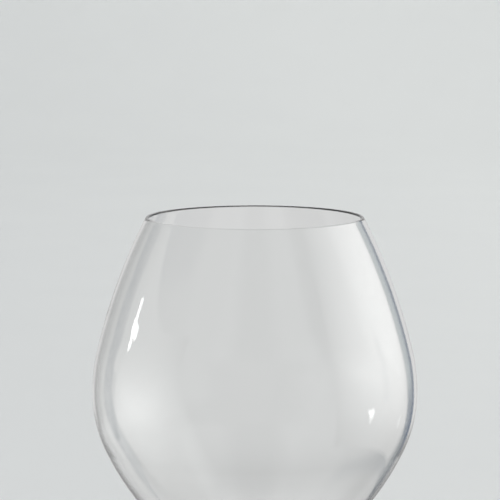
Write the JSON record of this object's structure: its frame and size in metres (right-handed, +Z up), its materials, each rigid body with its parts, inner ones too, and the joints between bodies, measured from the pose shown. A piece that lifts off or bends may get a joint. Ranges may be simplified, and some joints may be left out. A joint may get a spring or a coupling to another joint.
{
  "type": "wine glass",
  "caption": "Stemmed wine glass: a wide rounded bowl narrowing to its rim, on a slender stem with flared ends and a round, gently sloping foot.",
  "frame": {"origin": "centre of the foot's rest ring, on the surface that the glass stands on", "axes": "+Z up along the axis of the glass, from foot to rim; +X and +Y lie in the table plane, and any turn about Z looks the same"},
  "size_m": [0.106, 0.106, 0.212],
  "materials": {
    "clear_glass": "polished, colourless"
  },
  "bodies": {
    "root": {"bowl": "clear_glass", "stem": "clear_glass", "foot": "clear_glass"}
  },
  "joints": []
}
